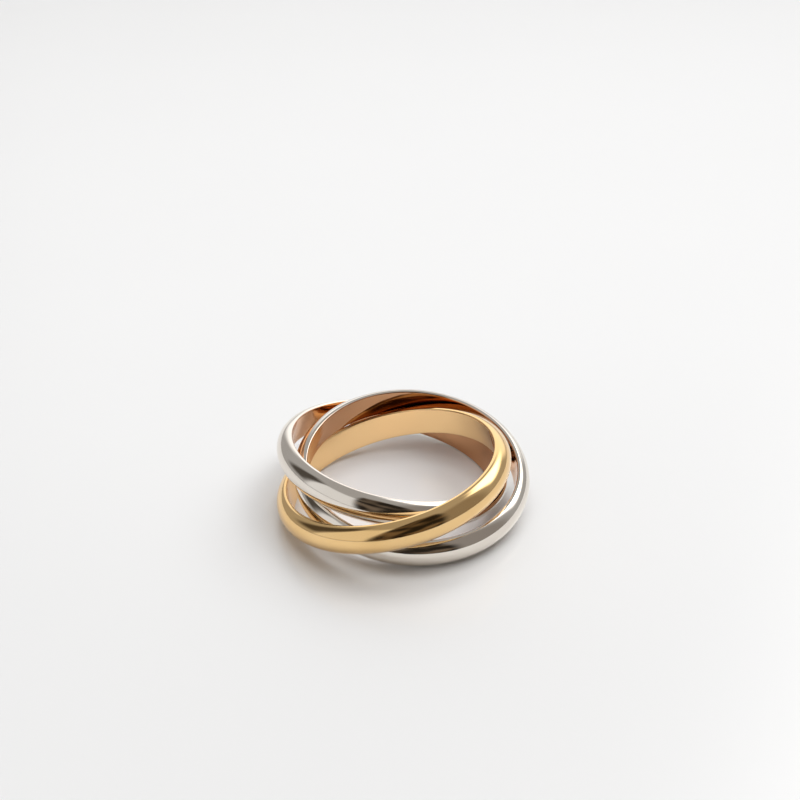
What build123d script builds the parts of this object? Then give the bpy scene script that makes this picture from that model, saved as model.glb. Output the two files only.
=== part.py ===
# A rolling ring: three plain round bands linked through one another, lying as they rest on a table.
# Lengths are in millimetres, +Z is up, and z = 0 is the surface that the ring lies on.
# The origin is the middle of the whole ring's outline, on that surface.
import os
from math import asin, cos, degrees, radians, sin, sqrt

from build123d import *

os.makedirs("parts", exist_ok=True)

# The cross-section, which all three bands share
finger_diameter = 17.0  # free diameter inside one band
band_width = 2.4  # along the finger
band_thickness = 1.12  # from the flat inside to the crown
side_thickness = 0.26  # of the flat side, from the inside to where the crown starts
inner_edge_round = 0.1
outer_edge_round = 0.1

# How each band lies, with its lower outer edge on the surface
# high_side: where it stands highest, in degrees turned from +X towards +Y
# climb: how far its inner wall rises from its low side to its high side, as a share of band_width
# right, back: how far its middle lies from the common middle, as shares of crossing_reach
# These shares keep linked bands about 0.05 apart where they pass through one another.
arrangement = {
    "white_band_upper": {"high_side": 212.5, "climb": 1.48, "right": -0.12, "back": 0.31},
    "yellow_band": {"high_side": 343.0, "climb": 1.7, "right": -0.115, "back": -0.305},
    "white_band_lower": {"high_side": 106.5, "climb": 1.29, "right": 0.235, "back": -0.01},
}

# Sizes worked out from the cross-section
inner_radius = finger_diameter / 2
half_width = band_width / 2
crown_rise = band_thickness - side_thickness
crown_radius = (half_width**2 + crown_rise**2) / (2 * crown_rise)
crown_centre = inner_radius + band_thickness - crown_radius
edge_centre_height = half_width - outer_edge_round
edge_centre_radius = crown_centre + sqrt((crown_radius - outer_edge_round) ** 2 - edge_centre_height**2)
crossing_reach = sqrt(finger_diameter * band_thickness)  # how far apart crossing hoops of this wall lie


def tilt_of(place):
    """Angle between a band's own axis and the vertical, in radians."""
    return asin(place["climb"] * band_width / finger_diameter)


def height_of(place):
    """Height of a band's middle when its lower outer edge meets the surface."""
    tilt = tilt_of(place)
    return edge_centre_radius * sin(tilt) + edge_centre_height * cos(tilt) + outer_edge_round


def axis_of(place):
    """Direction of a band's own axis, which leans away from its high side."""
    tilt = tilt_of(place)
    turn = radians(place["high_side"])
    return Vector(-sin(tilt) * cos(turn), -sin(tilt) * sin(turn), cos(tilt))


def reach_of(place):
    """Half the length of a band's outline along X and along Y."""
    axis = axis_of(place)
    return [crown_centre * sqrt(1 - lean**2) + crown_radius for lean in (axis.X, axis.Y)]


def outline_middle():
    """Middle of the box round all the bands, along X and along Y."""
    middle = []
    for direction, share in enumerate(("right", "back")):
        ends = [(place[share] * crossing_reach, reach_of(place)[direction]) for place in arrangement.values()]
        middle.append((max(at + reach for at, reach in ends) + min(at - reach for at, reach in ends)) / 2)
    return middle


middle_x, middle_y = outline_middle()


def middle_plane(place):
    """Plane through a band's middle, square to its own axis."""
    centre = (
        place["right"] * crossing_reach - middle_x,
        place["back"] * crossing_reach - middle_y,
        height_of(place),
    )
    return Plane(origin=centre, z_dir=axis_of(place))


def section_plane(place):
    """Plane that stands on a band's middle plane, with its y along the band's own axis."""
    middle = middle_plane(place)
    return Plane(origin=middle.origin, x_dir=middle.x_dir, z_dir=-middle.y_dir)


def axis_line(place):
    """The line that a band turns about."""
    middle = middle_plane(place)
    return Axis(middle.origin, middle.z_dir)


# One cross-section: x is out from the band's own axis, y is along it
with BuildSketch() as section:
    with BuildLine():
        inside = Line((inner_radius, -half_width), (inner_radius, half_width))
        upper_side = Line(inside @ 1, (inner_radius + side_thickness, half_width))
        crown = ThreePointArc(
            upper_side @ 1,
            (inner_radius + band_thickness, 0),
            (inner_radius + side_thickness, -half_width),
        )
        Line(crown @ 1, inside @ 0)
    make_face()
    fillet(section.vertices().group_by(Axis.X)[0], inner_edge_round)
    fillet(section.vertices().group_by(Axis.X)[-1], outer_edge_round)

with BuildPart() as white_band_upper:
    with BuildSketch(section_plane(arrangement["white_band_upper"])):
        add(section.sketch)
    revolve(axis=axis_line(arrangement["white_band_upper"]))

with BuildPart() as yellow_band:
    with BuildSketch(section_plane(arrangement["yellow_band"])):
        add(section.sketch)
    revolve(axis=axis_line(arrangement["yellow_band"]))

with BuildPart() as white_band_lower:
    with BuildSketch(section_plane(arrangement["white_band_lower"])):
        add(section.sketch)
    revolve(axis=axis_line(arrangement["white_band_lower"]))

white_band_upper.part.label = "white_band_upper"
yellow_band.part.label = "yellow_band"
white_band_lower.part.label = "white_band_lower"

export_step(white_band_upper.part, "parts/white_band_upper.step")
export_step(yellow_band.part, "parts/yellow_band.step")
export_step(white_band_lower.part, "parts/white_band_lower.step")

for name, place in arrangement.items():
    middle = middle_plane(place)
    print(name, "middle", middle.origin, "axis", middle.z_dir, "tilt", round(degrees(tilt_of(place)), 2))
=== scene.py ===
import math

import bpy
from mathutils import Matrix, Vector


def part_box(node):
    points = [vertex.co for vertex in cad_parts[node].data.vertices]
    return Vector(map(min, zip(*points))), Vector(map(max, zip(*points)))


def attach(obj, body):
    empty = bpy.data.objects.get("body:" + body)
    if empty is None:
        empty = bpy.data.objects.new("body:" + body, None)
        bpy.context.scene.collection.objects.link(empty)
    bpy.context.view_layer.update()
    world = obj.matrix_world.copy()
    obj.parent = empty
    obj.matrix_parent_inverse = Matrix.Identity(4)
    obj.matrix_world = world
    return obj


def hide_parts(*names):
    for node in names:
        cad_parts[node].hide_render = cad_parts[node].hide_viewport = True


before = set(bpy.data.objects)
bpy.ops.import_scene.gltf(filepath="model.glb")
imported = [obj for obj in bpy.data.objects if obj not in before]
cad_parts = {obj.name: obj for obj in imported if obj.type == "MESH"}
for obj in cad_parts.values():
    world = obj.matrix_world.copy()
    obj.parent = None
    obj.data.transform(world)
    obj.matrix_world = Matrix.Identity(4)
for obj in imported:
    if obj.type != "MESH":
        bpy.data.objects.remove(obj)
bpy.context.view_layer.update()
print("frame loaded")

mm = 0.001


def addObject(name, data):
    obj = bpy.data.objects.new(name, data)
    bpy.context.scene.collection.objects.link(obj)
    return obj


def link(tree, source, target):
    tree.links.new(source, target)


# gives a socket a number or a colour, or joins it to another node
def feed(tree, socket, value):
    if isinstance(value, bpy.types.NodeSocket):
        link(tree, value, socket)
    elif isinstance(value, tuple):
        socket.default_value = (*value, 1)
    else:
        socket.default_value = value


def maths(tree, operation, first, second=0.0):
    node = tree.nodes.new("ShaderNodeMath")
    node.operation = operation
    feed(tree, node.inputs[0], first)
    feed(tree, node.inputs[1], second)
    return node.outputs[0]


def scaled(tree, vector, factor):
    node = tree.nodes.new("ShaderNodeVectorMath")
    node.operation = "SCALE"
    link(tree, vector, node.inputs[0])
    feed(tree, node.inputs["Scale"], factor)
    return node.outputs["Vector"]


def separated(tree, vector):
    node = tree.nodes.new("ShaderNodeSeparateXYZ")
    link(tree, vector, node.inputs["Vector"])
    return node.outputs


def noise(tree, vector, pattern, w=0.0):
    node = tree.nodes.new("ShaderNodeTexNoise")
    node.noise_dimensions = "4D"
    link(tree, vector, node.inputs["Vector"])
    feed(tree, node.inputs["W"], w)
    node.inputs["Scale"].default_value = pattern["scale"]
    node.inputs["Detail"].default_value = pattern["detail"]
    node.inputs["Roughness"].default_value = pattern["roughness"]
    return node.outputs["Fac"]


# turns a value into greys, by pairs of a place from 0 to 1 and the grey there
def ramp(tree, value, stops):
    node = tree.nodes.new("ShaderNodeValToRGB")
    line = node.color_ramp
    for stop, (place, grey) in zip((line.elements[0], line.elements[1]), (stops[0], stops[-1])):
        stop.position = place
        stop.color = (grey, grey, grey, 1)
    for place, grey in stops[1:-1]:
        line.elements.new(place).color = (grey, grey, grey, 1)
    link(tree, value, node.inputs["Fac"])
    return node.outputs["Color"]


def mixColours(tree, factor, first, second):
    node = tree.nodes.new("ShaderNodeMix")
    node.data_type = "RGBA"
    link(tree, factor, node.inputs["Factor"])
    feed(tree, node.inputs[6], first)  # by number, because other sockets of the node have the same names
    feed(tree, node.inputs[7], second)
    return node.outputs[2]


# the cross-section that all three bands share, in millimetres, and how finely it is swept
section = {
    "innerRadius": 8.5,
    "width": 2.4,
    "thickness": 1.12,
    "sideThickness": 0.26,
    "innerRound": 0.1,
    "outerRound": 0.1,
    "crownSteps": 60,
    "roundSteps": 8,
    "wallSteps": 10,
    "segments": 420,
}

# how each band leans; its middle comes from its box in the frame
# highSide: where it stands highest, in degrees from +X towards +Y
# climb: how far its inner wall rises to that side, as a share of its width
bands = {
    "whiteBandUpper": {"node": "white_band_upper", "metal": "white_gold", "highSide": 212.5, "climb": 1.48},
    "yellowBand": {"node": "yellow_band", "metal": "yellow_gold", "highSide": 343.0, "climb": 1.7},
    "whiteBandLower": {"node": "white_band_lower", "metal": "white_gold", "highSide": 106.5, "climb": 1.29},
}


# the outline of the section: x is out from the inner wall, y is along the band's axis
def sectionOutline():
    half = section["width"] / 2
    rise = section["thickness"] - section["sideThickness"]
    crownRadius = (half**2 + rise**2) / (2 * rise)
    crownX = section["thickness"] - crownRadius
    inner, outer = section["innerRound"], section["outerRound"]
    edgeY = half - outer
    edgeX = crownX + math.sqrt((crownRadius - outer) ** 2 - edgeY**2)
    meet = math.atan2(edgeY, edgeX - crownX)

    def arc(x, y, radius, start, end, steps):
        turns = [start + (end - start) * i / steps for i in range(steps + 1)]
        return [(x + radius * math.cos(t), y + radius * math.sin(t)) for t in turns]

    steps = section["roundSteps"]
    points = arc(inner, inner - half, inner, math.pi, 1.5 * math.pi, steps)
    points += [((inner + edgeX) / 2, -half)]
    points += arc(edgeX, -edgeY, outer, -math.pi / 2, -meet, steps)
    points += arc(crownX, 0, crownRadius, -meet, meet, section["crownSteps"])[1:-1]
    points += arc(edgeX, edgeY, outer, meet, math.pi / 2, steps)
    points += [((inner + edgeX) / 2, half)]
    points += arc(inner, half - inner, inner, math.pi / 2, math.pi, steps)
    flat, wallSteps = half - inner, section["wallSteps"]
    points += [(0, flat * (1 - 2 * k / wallSteps)) for k in range(1, wallSteps)]
    return points


def sectionCurve(name):
    curve = bpy.data.curves.new(name, "CURVE")
    curve.dimensions = "3D"
    spline = curve.splines.new("POLY")
    outline = sectionOutline()
    spline.points.add(len(outline) - 1)
    for point, (x, y) in zip(spline.points, outline):
        point.co = (x * mm, y * mm, 0, 1)
    spline.use_cyclic_u = True
    return addObject(name, curve)


def storePosition(tree, geometry, name):
    node = tree.nodes.new("GeometryNodeStoreNamedAttribute")
    node.data_type = "FLOAT_VECTOR"
    node.domain = "POINT"
    node.inputs["Name"].default_value = name
    link(tree, geometry, node.inputs["Geometry"])
    link(tree, tree.nodes.new("GeometryNodeInputPosition").outputs["Position"], node.inputs["Value"])
    return node.outputs["Geometry"]


# sweeps the section once round a circle, then leans it and sets it in its place
# it leaves two attributes: where a point lies round the band, and where it lies in the section
def bandTree():
    tree = bpy.data.node_groups.new("bandSweep", "GeometryNodeTree")
    face = tree.interface
    face.new_socket("Geometry", in_out="INPUT", socket_type="NodeSocketGeometry")
    for name, kind in (("Inner Radius", "Float"), ("Segments", "Int"), ("Lean", "Rotation"),
                       ("Middle", "Vector"), ("Metal", "Material")):
        face.new_socket(name, in_out="INPUT", socket_type="NodeSocket" + kind)
    face.new_socket("Geometry", in_out="OUTPUT", socket_type="NodeSocketGeometry")
    new = tree.nodes.new
    given, out = new("NodeGroupInput"), new("NodeGroupOutput")
    circle, sweep = new("GeometryNodeCurvePrimitiveCircle"), new("GeometryNodeCurveToMesh")
    smooth, place = new("GeometryNodeSetShadeSmooth"), new("GeometryNodeTransform")
    paint = new("GeometryNodeSetMaterial")
    link(tree, given.outputs["Inner Radius"], circle.inputs["Radius"])
    link(tree, given.outputs["Segments"], circle.inputs["Resolution"])
    link(tree, storePosition(tree, circle.outputs["Curve"], "roundBand"), sweep.inputs["Curve"])
    link(tree, storePosition(tree, given.outputs["Geometry"], "inSection"), sweep.inputs["Profile Curve"])
    link(tree, sweep.outputs["Mesh"], smooth.inputs["Geometry"])
    link(tree, smooth.outputs["Geometry"], place.inputs["Geometry"])
    link(tree, given.outputs["Lean"], place.inputs["Rotation"])
    link(tree, given.outputs["Middle"], place.inputs["Translation"])
    link(tree, place.outputs["Geometry"], paint.inputs["Geometry"])
    link(tree, given.outputs["Metal"], paint.inputs["Material"])
    link(tree, paint.outputs["Geometry"], out.inputs["Geometry"])
    return tree


def setInput(modifier, name, value):
    for item in modifier.node_group.interface.items_tree:
        if item.item_type == "SOCKET" and item.in_out == "INPUT" and item.name == name:
            modifier[item.identifier] = value


# the direction of a band's own axis, which leans away from its high side
def bandAxis(band):
    lean = math.asin(band["climb"] * section["width"] / (2 * section["innerRadius"]))
    turn = math.radians(band["highSide"])
    return Vector((-math.sin(lean) * math.cos(turn), -math.sin(lean) * math.sin(turn), math.cos(lean)))


def makeBand(name, band, tree, material):
    rough = sectionCurve(name + "Section")
    modifier = rough.modifiers.new("sweep", "NODES")
    modifier.node_group = tree
    low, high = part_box(band["node"])
    lean = Vector((0, 0, 1)).rotation_difference(bandAxis(band))
    setInput(modifier, "Inner Radius", section["innerRadius"] * mm)
    setInput(modifier, "Segments", section["segments"])
    setInput(modifier, "Lean", lean.to_euler())
    setInput(modifier, "Middle", list((low + high) / 2))
    setInput(modifier, "Metal", material)
    graph = bpy.context.evaluated_depsgraph_get()
    mesh = bpy.data.meshes.new_from_object(rough.evaluated_get(graph), depsgraph=graph)
    mesh.name = name
    bpy.data.objects.remove(rough)
    return addObject(name, mesh)


# how far a piece's box lies from the box of its node, in millimetres
def boxGap(piece, node):
    low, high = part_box(node)
    corners = [v.co for v in piece.data.vertices]
    gaps = [abs(min(c[i] for c in corners) - low[i]) for i in range(3)]
    gaps += [abs(max(c[i] for c in corners) - high[i]) for i in range(3)]
    return max(gaps) / mm


# polished metals: the colour outside, its deeper patches, and a painted inner-wall colour that stands in for
# the reflections, light and shade inside the hollow
metals = {
    "white_gold": {
        # white gold's inner wall is painted rosy gold: a painted reflection of the gold walls around it and
        # of the shade in the hollow, not the metal's own colour
        "colour": (0.83, 0.775, 0.705), "patch": (0.79, 0.73, 0.655), "inside": (0.73, 0.40, 0.215),
    },
    "yellow_gold": {
        # yellow gold's inner wall is painted lighter than its outside: painted light from the bright surface
        # it mirrors
        "colour": (0.90, 0.615, 0.295), "patch": (0.86, 0.57, 0.25), "inside": (0.98, 0.67, 0.34),
    },
}

# the wear that both metals share: depths in millimetres, scales per metre
wear = {
    "polish": 0.045,  # roughness of clean metal
    "haze": 0.10,  # roughness that marks and handling add
    "scratches": 0.3, "scratchDepth": 0.0012,  # strength and depth of the hairlines
    "ripple": 0.8, "rippleDepth": 0.05,  # and of the slow waves
    "around": 160.0,  # how fast hairlines and waves change round the band
    "acrossHairs": 7000.0, "acrossWaves": 700.0,  # and how fast they change across it
    "handling": 420.0,  # how fast haze and colour change in every direction
    "hairs": {"scale": 1.0, "detail": 3.0, "roughness": 0.65,
              "stops": ((0.50, 0.0), (0.62, 0.25), (0.78, 1.0))},
    "waves": {"scale": 1.0, "detail": 1.0, "roughness": 0.4},
    "smears": {"scale": 1.0, "detail": 4.0, "roughness": 0.6,
               "stops": ((0.42, 0.0), (0.6, 0.45), (0.75, 1.0))},
    "patches": {"scale": 0.45, "detail": 2.0, "roughness": 0.5, "stops": ((0.35, 0.0), (0.65, 1.0))},
    "wallEdge": (0.2, 0.9),  # where the inner colour fades, as shares of the inner edge's rounding
}


def newGroup(name, inputs, outputs):
    tree = bpy.data.node_groups.new(name, "ShaderNodeTree")
    for way, sockets in (("INPUT", inputs), ("OUTPUT", outputs)):
        for socket, kind in sockets:
            tree.interface.new_socket(socket, in_out=way, socket_type="NodeSocket" + kind)
    return tree, tree.nodes.new("NodeGroupInput"), tree.nodes.new("NodeGroupOutput")


# a place in the pattern of marks: x and y from round the band, z from across it
def markPlace(tree, around, height):
    node = tree.nodes.new("ShaderNodeCombineXYZ")
    link(tree, around["X"], node.inputs["X"])
    link(tree, around["Y"], node.inputs["Y"])
    link(tree, height, node.inputs["Z"])
    return node.outputs["Vector"]


# hairline marks and slow waves that run round the band, as turning, polishing and wear leave them
def hairlineGroup():
    inputs = (("Round", "Vector"), ("Section", "Vector"), ("Fineness", "Float"))
    tree, given, out = newGroup("hairlines", inputs, (("Mark", "Float"), ("Ripple", "Float")))
    across = separated(tree, given.outputs["Section"])
    around = separated(tree, scaled(tree, given.outputs["Round"], wear["around"]))
    height = maths(tree, "MULTIPLY", across["Y"], given.outputs["Fineness"])
    depth = maths(tree, "MULTIPLY", across["X"], given.outputs["Fineness"])
    lines = noise(tree, markPlace(tree, around, height), wear["hairs"], depth)
    link(tree, ramp(tree, lines, wear["hairs"]["stops"]), out.inputs["Mark"])
    slow = maths(tree, "MULTIPLY", across["Y"], wear["acrossWaves"])
    link(tree, noise(tree, markPlace(tree, around, slow), wear["waves"]), out.inputs["Ripple"])
    return tree


# soft clouds of haze and of colour, as handling leaves them
def handlingGroup():
    inputs = (("Place", "Vector"), ("Size", "Float"))
    tree, given, out = newGroup("handling", inputs, (("Haze", "Float"), ("Cloud", "Float")))
    place = scaled(tree, given.outputs["Place"], given.outputs["Size"])
    for socket, pattern in (("Haze", wear["smears"]), ("Cloud", wear["patches"])):
        link(tree, ramp(tree, noise(tree, place, pattern), pattern["stops"]), out.inputs[socket])
    return tree


def readAttribute(tree, name):
    node = tree.nodes.new("ShaderNodeAttribute")
    node.attribute_name = name
    return node.outputs["Vector"]


def placed(tree, group):
    node = tree.nodes.new("ShaderNodeGroup")
    node.node_tree = group
    return node


def bump(tree, height, strength, depth):
    node = tree.nodes.new("ShaderNodeBump")
    node.inputs["Strength"].default_value = strength
    node.inputs["Distance"].default_value = depth * mm
    link(tree, height, node.inputs["Height"])
    return node


def metalMaterial(name, metal, groups):
    material = bpy.data.materials.new(name)
    material.use_nodes = True
    tree = material.node_tree
    shader = tree.nodes["Principled BSDF"]
    shader.inputs["Metallic"].default_value = 1
    inSection = readAttribute(tree, "inSection")
    hairs, hands = placed(tree, groups["hairlines"]), placed(tree, groups["handling"])
    link(tree, readAttribute(tree, "roundBand"), hairs.inputs["Round"])
    link(tree, inSection, hairs.inputs["Section"])
    hairs.inputs["Fineness"].default_value = wear["acrossHairs"]
    link(tree, tree.nodes.new("ShaderNodeTexCoord").outputs["Object"], hands.inputs["Place"])
    hands.inputs["Size"].default_value = wear["handling"]

    # the inner wall lies at x = 0 of the section, and its painted reflection colour ends in the rounded edge
    wall = tree.nodes.new("ShaderNodeMapRange")
    start, end = (share * section["innerRound"] * mm for share in wear["wallEdge"])
    for socket, value in (("From Min", start), ("From Max", end), ("To Min", 1), ("To Max", 0)):
        wall.inputs[socket].default_value = value
    link(tree, separated(tree, inSection)["X"], wall.inputs["Value"])
    outside = mixColours(tree, hands.outputs["Cloud"], metal["colour"], metal["patch"])
    # the inner wall takes the painted reflection colour in place of the metal's own colour
    colour = mixColours(tree, wall.outputs["Result"], outside, metal["inside"])
    link(tree, colour, shader.inputs["Base Color"])

    haze = maths(tree, "MULTIPLY", hands.outputs["Haze"], wear["haze"])
    marks = maths(tree, "MULTIPLY", hairs.outputs["Mark"], wear["haze"])
    rough = maths(tree, "ADD", maths(tree, "ADD", haze, marks), wear["polish"])
    link(tree, rough, shader.inputs["Roughness"])
    scratches = bump(tree, hairs.outputs["Mark"], wear["scratches"], wear["scratchDepth"])
    scratches.invert = True
    waves = bump(tree, hairs.outputs["Ripple"], wear["ripple"], wear["rippleDepth"])
    link(tree, scratches.outputs["Normal"], waves.inputs["Normal"])
    link(tree, waves.outputs["Normal"], shader.inputs["Normal"])
    return material


# the pale surface that the ring lies on
surface = {
    "half": 2000.0,  # half of its side, in millimetres
    "colour": (0.895, 0.90, 0.908),
    "mottle": (0.88, 0.885, 0.893),
    "clouds": {"scale": 30.0, "detail": 3.0, "roughness": 0.5},
    "mirror": 0.075,  # share of the light that it mirrors
    "gloss": 0.2,  # roughness of the mirror image
}


def floorMaterial():
    material = bpy.data.materials.new("paleSurface")
    material.use_nodes = True
    tree = material.node_tree
    shader = tree.nodes["Principled BSDF"]
    clouds = noise(tree, tree.nodes.new("ShaderNodeTexCoord").outputs["Object"], surface["clouds"])
    link(tree, mixColours(tree, clouds, surface["colour"], surface["mottle"]), shader.inputs["Base Color"])
    shader.inputs["Roughness"].default_value = 1
    shader.inputs["Specular IOR Level"].default_value = 0
    mirror, both = tree.nodes.new("ShaderNodeBsdfGlossy"), tree.nodes.new("ShaderNodeMixShader")
    mirror.inputs["Roughness"].default_value = surface["gloss"]
    both.inputs["Fac"].default_value = surface["mirror"]
    link(tree, shader.outputs["BSDF"], both.inputs[1])
    link(tree, mirror.outputs["BSDF"], both.inputs[2])
    link(tree, both.outputs["Shader"], tree.nodes["Material Output"].inputs["Surface"])
    return material


def makeFloor():
    half = surface["half"] * mm
    corners = [(-half, -half, 0), (half, -half, 0), (half, half, 0), (-half, half, 0)]
    mesh = bpy.data.meshes.new("floor")
    mesh.from_pydata(corners, [], [(0, 1, 2, 3)])
    mesh.materials.append(floorMaterial())
    addObject("floor", mesh)


# the soft studio: a pale tent with bright and dark panels, open behind the camera
# heading is in degrees from the camera's side towards the viewer's right, height is above the surface
studio = {
    "tent": (0.42, 0.415, 0.41),
    "overhead": (0.42, 0.41, 0.40),
    "overheadRange": (30.0, 75.0),  # the heights between which tent turns into overhead
    "panels": {
        "back": {"heading": 172.0, "height": 20.0, "halfWidth": 31.0, "halfHeight": 15.0, "soft": 8.0,
                 "light": (1.3, 1.3, 1.3)},
        "backRight": {"heading": 130.0, "height": 45.0, "halfWidth": 24.0, "halfHeight": 17.0, "soft": 8.0,
                      "light": (3.2, 3.2, 3.15)},
        "left": {"heading": -57.0, "height": 30.0, "halfWidth": 27.0, "halfHeight": 28.0, "soft": 4.0,
                 "light": (0.82, 0.82, 0.82)},
        "leftGap": {"heading": -102.0, "height": 36.0, "halfWidth": 15.0, "halfHeight": 22.0, "soft": 7.0,
                    "light": (0.08, 0.07, 0.06)},
        "right": {"heading": 64.0, "height": 32.0, "halfWidth": 26.0, "halfHeight": 36.0, "soft": 9.0,
                  "light": (0.28, 0.255, 0.235)},
        "openSide": {"heading": 6.0, "height": 38.0, "halfWidth": 36.0, "halfHeight": 44.0, "soft": 6.0,
                     "light": (0.022, 0.017, 0.012), "clutter": (0.16, 0.12, 0.085)},
    },
    # brown shapes in the open side, which the crowns of the bands reflect
    "clutter": {"scale": 2.4, "detail": 1.0, "roughness": 0.4, "stops": ((0.44, 0.0), (0.64, 1.0))},
    # what the camera sees past the edge of the surface, by height
    "backdrop": {"low": (0.40, 0.40, 0.395), "high": (0.87, 0.87, 0.865), "range": (0.0, 22.0)},
    # a soft lamp above that the polished metal doesn't mirror; place and size in millimetres
    "lamp": {"place": (75.0, 40.0, 400.0), "size": 420.0, "power": 0.985},
}


def smoothStep(tree, value, low, high):
    node = tree.nodes.new("ShaderNodeMapRange")
    node.interpolation_type = "SMOOTHSTEP"
    node.inputs["From Min"].default_value = math.radians(low)
    node.inputs["From Max"].default_value = math.radians(high)
    link(tree, value, node.inputs["Value"])
    return node.outputs["Result"]


# 1 inside a panel and 0 past its soft edge, along one angle from its middle
def panelMask(tree, angle, half, soft):
    aside = maths(tree, "ABSOLUTE", angle)
    return maths(tree, "SUBTRACT", 1.0, smoothStep(tree, aside, half - soft, half + soft))


def addPanel(tree, light, panel, way, height, clutter):
    turn = math.radians(panel["heading"])
    ahead = maths(tree, "SUBTRACT", maths(tree, "MULTIPLY", way["X"], math.sin(turn)),
                  maths(tree, "MULTIPLY", way["Y"], math.cos(turn)))
    across = maths(tree, "ADD", maths(tree, "MULTIPLY", way["X"], math.cos(turn)),
                   maths(tree, "MULTIPLY", way["Y"], math.sin(turn)))
    above = maths(tree, "SUBTRACT", height, math.radians(panel["height"]))
    sideways = panelMask(tree, maths(tree, "ARCTAN2", across, ahead), panel["halfWidth"], panel["soft"])
    upright = panelMask(tree, above, panel["halfHeight"], panel["soft"])
    glow = mixColours(tree, clutter, panel["light"], panel.get("clutter", panel["light"]))
    return mixColours(tree, maths(tree, "MULTIPLY", sideways, upright), light, glow)


def makeStudio():
    world = bpy.data.worlds.new("studio")
    bpy.context.scene.world = world
    world.use_nodes = True
    tree = world.node_tree
    direction = tree.nodes.new("ShaderNodeTexCoord").outputs["Generated"]
    way = separated(tree, direction)
    height = maths(tree, "ARCSINE", way["Z"])
    overhead = smoothStep(tree, height, *studio["overheadRange"])
    light = mixColours(tree, overhead, studio["tent"], studio["overhead"])
    clutter = ramp(tree, noise(tree, direction, studio["clutter"]), studio["clutter"]["stops"])
    for panel in studio["panels"].values():
        light = addPanel(tree, light, panel, way, height, clutter)
    backdrop = studio["backdrop"]
    rising = smoothStep(tree, height, *backdrop["range"])
    behind = mixColours(tree, rising, backdrop["low"], backdrop["high"])
    seen = tree.nodes.new("ShaderNodeLightPath").outputs["Is Camera Ray"]
    link(tree, mixColours(tree, seen, light, behind), tree.nodes["Background"].inputs["Color"])
    bpy.context.scene.view_settings.view_transform = "Standard"


def makeLamp():
    lamp = bpy.data.lights.new("lamp", "AREA")
    lamp.size = studio["lamp"]["size"] * mm
    lamp.energy = studio["lamp"]["power"]
    holder = addObject("lamp", lamp)
    holder.location = Vector(studio["lamp"]["place"]) * mm
    holder.rotation_euler = holder.location.to_track_quat("Z", "Y").to_euler()  # turns it to the ring
    holder.visible_glossy = False


# where the photo was taken from; lengths in millimetres
camera = {
    "ring": (-0.048, 2.702, 0.0),  # a point on the surface, inside the ring
    "distance": 98.0,  # from that point
    "above": 35.18,  # degrees above the surface
    "pixelsRight": 3.0, "pixelsDown": 80.0,  # where that point lies, from the middle of the picture
    "focalPixels": 1152.4, "picture": 800.0,
    "sensor": 36.0,
    "nearest": 10.0,  # what lies nearer is not drawn
}


def makeCamera():
    data = bpy.data.cameras.new("photoCamera")
    obj = addObject("photoCamera", data)
    data.sensor_width = camera["sensor"]
    data.lens = camera["sensor"] * camera["focalPixels"] / camera["picture"]
    data.clip_start = camera["nearest"] * mm
    above = math.radians(camera["above"])
    back = camera["distance"] * mm
    obj.location = Vector(camera["ring"]) * mm + Vector((0, -back * math.cos(above), back * math.sin(above)))
    pitch = above - math.atan(camera["pixelsDown"] / camera["focalPixels"])
    turn = math.atan(camera["pixelsRight"] / camera["focalPixels"])
    obj.rotation_euler = (math.pi / 2 - pitch, 0, turn)
    bpy.context.scene.camera = obj


groups = {"hairlines": hairlineGroup(), "handling": handlingGroup()}
materials = {slot: metalMaterial(slot, metal, groups) for slot, metal in metals.items()}
print("metals made")

sweep = bandTree()
for name, band in bands.items():
    piece = makeBand(name, band, sweep, materials[band["metal"]])
    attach(piece, band["node"])
    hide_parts(band["node"])
    faces, gap = len(piece.data.polygons), round(boxGap(piece, band["node"]), 4)
    print(name, "made,", faces, "faces, box off by", gap, "mm")

makeFloor()
makeStudio()
makeLamp()
makeCamera()
print("surface, light and camera made")
print("scene done")
